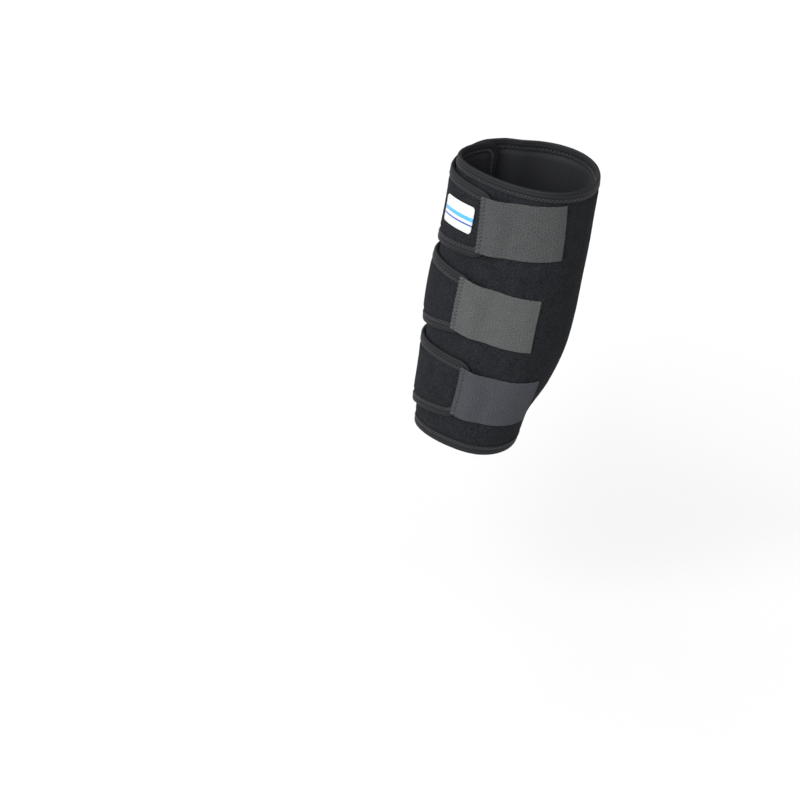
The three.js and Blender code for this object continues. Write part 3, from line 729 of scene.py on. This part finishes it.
# Woven satin: bright white with a silky gloss, its threads drawn 0.7 mm apart
SATIN_THREAD = 0.7
satin, tree, shader = new_material(
    "woven_satin", Roughness=0.42, Specular_IOR_Level=0.5, Sheen_Weight=0.1)
flat_cloth = add_node(tree, "ShaderNodeUVMap", {"uv_map": "flat_cloth"}).outputs["UV"]
threads = add_node(tree, "ShaderNodeTexWave", {
    "bands_direction": "Y", "Scale": 0.1 / (SATIN_THREAD * MM), "Distortion": 0.8}, {
    "Vector": flat_cloth})
white = add_node(tree, "ShaderNodeValToRGB", None, {"Fac": threads.outputs["Fac"]})
white.color_ramp.elements[0].color = linear("#b3b6b5")
white.color_ramp.elements[1].color = linear("#c4c7c6")
height = add_node(tree, "ShaderNodeSeparateXYZ", None, {"Vector": flat_cloth}).outputs["Y"]
bands = add_node(tree, "ShaderNodeMapRange", {
    "From Min": -LABEL_HEIGHT / 2 * MM, "From Max": LABEL_HEIGHT / 2 * MM}, {"Value": height})
colours = add_node(tree, "ShaderNodeValToRGB", None, {"Fac": bands.outputs["Result"]})
ramp = colours.color_ramp
ramp.interpolation = "CONSTANT"
ramp.elements[0].color = (0, 0, 0, 0)
ramp.elements[1].color = (0, 0, 0, 0)
for position, colour in ((0.28, linear("#2c4890")), (0.345, (0, 0, 0, 0)),
                         (0.45, linear("#3f93cc")), (0.6, (0, 0, 0, 0))):
    ramp.elements.new(position).color = colour
blend = add_node(tree, "ShaderNodeMix", {"data_type": "RGBA"})
tree.links.new(colours.outputs["Alpha"], blend.inputs["Factor"])
tree.links.new(white.outputs["Color"], blend.inputs["A"])
tree.links.new(colours.outputs["Color"], blend.inputs["B"])
tree.links.new(blend.outputs["Result"], shader.inputs["Base Color"])
weave = add_node(tree, "ShaderNodeBump", {"Strength": 0.3, "Distance": 0.1 * MM}, {
    "Height": threads.outputs["Fac"]})
tree.links.new(weave.outputs["Normal"], shader.inputs["Normal"])
label.data.materials.append(satin)
label.data.materials.append(satin)
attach(label, "root")
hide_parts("label")

# Straight stitches in white thread run round the label just inside its edge.
seam_x, seam_y = LABEL_LENGTH / 2 - LABEL_SEAM, LABEL_HEIGHT / 2 - LABEL_SEAM
seam_turns = np.radians([0, 30, 60, 90])
seam_corner = LABEL_CORNER - LABEL_SEAM
corners = []
for quarter, (sign_x, sign_y) in enumerate(((1, 1), (-1, 1), (-1, -1), (1, -1))):
    turned = seam_turns + quarter * math.pi / 2
    corner_x = LABEL_LENGTH / 2 + sign_x * (seam_x - seam_corner) + seam_corner * np.cos(turned)
    corner_y = sign_y * (seam_y - seam_corner) + seam_corner * np.sin(turned)
    corners.append(np.stack([corner_x, corner_y], axis=1))
seam = np.vstack([*corners, corners[0][:1]])
seam_along = np.concatenate([[0], np.cumsum(np.hypot(*np.diff(seam, axis=0).T))])
stitches = round(seam_along[-1] / LABEL_STITCH)
at = np.arange(4 * stitches) / (4 * stitches) * seam_along[-1]
lift = np.tile([-0.3, 0.05, 0.12, 0.05], stitches)
points = place_on_label(np.interp(at, seam_along, seam[:, 0]), np.interp(at, seam_along, seam[:, 1]),
                        LABEL_THICKNESS + lift)
label_thread = thread_object("label_stitches", [(points, True)], 0.4)

# White polyester thread, a little duller than the satin
thread_white, tree, shader = new_material(
    "white_polyester_thread", Roughness=0.6, Specular_IOR_Level=0.3)
space = add_node(tree, "ShaderNodeTexCoord").outputs["Object"]
twist = add_node(tree, "ShaderNodeTexNoise", {"Scale": 1 / MM, "Detail": 1.0}, {"Vector": space})
shade = add_node(tree, "ShaderNodeValToRGB", None, {"Fac": twist.outputs["Fac"]})
shade.color_ramp.elements[0].color = linear("#96999b")
shade.color_ramp.elements[1].color = linear("#b4b7b7")
tree.links.new(shade.outputs["Color"], shader.inputs["Base Color"])
label_thread.data.materials.append(thread_white)
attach(label_thread, "root")


# Floor, light and camera
# A plain white floor well below the sleeve, which hangs where a standing leg would hold it, soft
# daylight that is bright from the front left, dim from the upper right and white all along the
# horizon, and a broad sun from the upper left.
FLOOR_DROP = 0.24  # metres below the sleeve
floor_mesh = bpy.data.meshes.new("floor")
bm = bmesh.new()
bmesh.ops.create_grid(bm, x_segments=1, y_segments=1, size=12)
bmesh.ops.translate(bm, verts=bm.verts, vec=(0, 0, panel_low.z - FLOOR_DROP))
bm.to_mesh(floor_mesh)
bm.free()
floor = bpy.data.objects.new("floor", floor_mesh)
bpy.context.scene.collection.objects.link(floor)
paper, tree, shader = new_material("white_paper", Roughness=0.9, Base_Color=linear("#dedede"))
floor.data.materials.append(paper)

world = bpy.data.worlds.new("soft_daylight")
world.use_nodes = True
sky = world.node_tree
sky.nodes["Background"].inputs["Color"].default_value = linear("#ffffff")
towards = add_node(sky, "ShaderNodeTexCoord").outputs["Generated"]
away = add_node(sky, "ShaderNodeVectorMath", {"operation": "DOT_PRODUCT", 1: (0.72, 0.69, 0.0)}, {
    0: towards})
front_left = add_node(sky, "ShaderNodeMapRange", {
    "From Min": -0.8, "From Max": 0.5, "To Min": 2.35, "To Max": 0.1}, {"Value": away.outputs["Value"]})
height = add_node(sky, "ShaderNodeSeparateXYZ", None, {"Vector": towards}).outputs["Z"]
horizon = add_node(sky, "ShaderNodeMapRange", {
    "From Min": 0.25, "From Max": 0.4, "To Min": 1.05, "To Max": 0.0}, {"Value": height})
strength = add_node(sky, "ShaderNodeMath", {"operation": "MAXIMUM"}, {
    0: front_left.outputs["Result"], 1: horizon.outputs["Result"]})
sky.links.new(strength.outputs[0], sky.nodes["Background"].inputs["Strength"])
bpy.context.scene.world = world

sun_light = bpy.data.lights.new("window_sun", "SUN")
sun_light.energy = 2.0
sun_light.angle = math.radians(38)
sun = bpy.data.objects.new("window_sun", sun_light)
bpy.context.scene.collection.objects.link(sun)
sun.matrix_world = Vector((0.75, 1.3, -0.95)).to_track_quat("-Z", "Y").to_matrix().to_4x4()

# The camera stands 2 m away, looks down by 25.5 degrees and leans by 9.3, and sees the sleeve's
# middle a little right of and above the picture's centre.
PICTURE = 800
FOCAL_PIXELS = 2284
MIDDLE_AT = (506, 300)
CAMERA_DISTANCE = 2.0  # metres from the sleeve, assumed
CAMERA_LIFT = 0.0017  # raises it and the point it looks at, in metres
look_down, lean = math.radians(25.5), math.radians(9.3)
ahead = Vector((0, math.cos(look_down), -math.sin(look_down)))
level_up = Vector((0, math.sin(look_down), math.cos(look_down)))
up = math.cos(lean) * level_up - math.sin(lean) * Vector((1, 0, 0))
right = math.cos(lean) * Vector((1, 0, 0)) + math.sin(lean) * level_up
camera_data = bpy.data.cameras.new("camera")
camera_data.sensor_width = 36
camera_data.lens = FOCAL_PIXELS / PICTURE * 36
camera_data.clip_end = 50
camera = bpy.data.objects.new("camera", camera_data)
bpy.context.scene.collection.objects.link(camera)
facing = Matrix((right, up, -ahead)).transposed()
sight = Vector(((MIDDLE_AT[0] - PICTURE / 2) / FOCAL_PIXELS,
                (PICTURE / 2 - MIDDLE_AT[1]) / FOCAL_PIXELS, -1))
turned = sight.rotation_difference(Vector((0, 0, -1))).to_matrix()
stands_at = -CAMERA_DISTANCE * ahead + Vector((0, 0, CAMERA_LIFT))
camera.matrix_world = Matrix.Translation(stands_at) @ (facing @ turned).to_4x4()
bpy.context.scene.camera = camera
bpy.context.scene.view_settings.view_transform = "Standard"
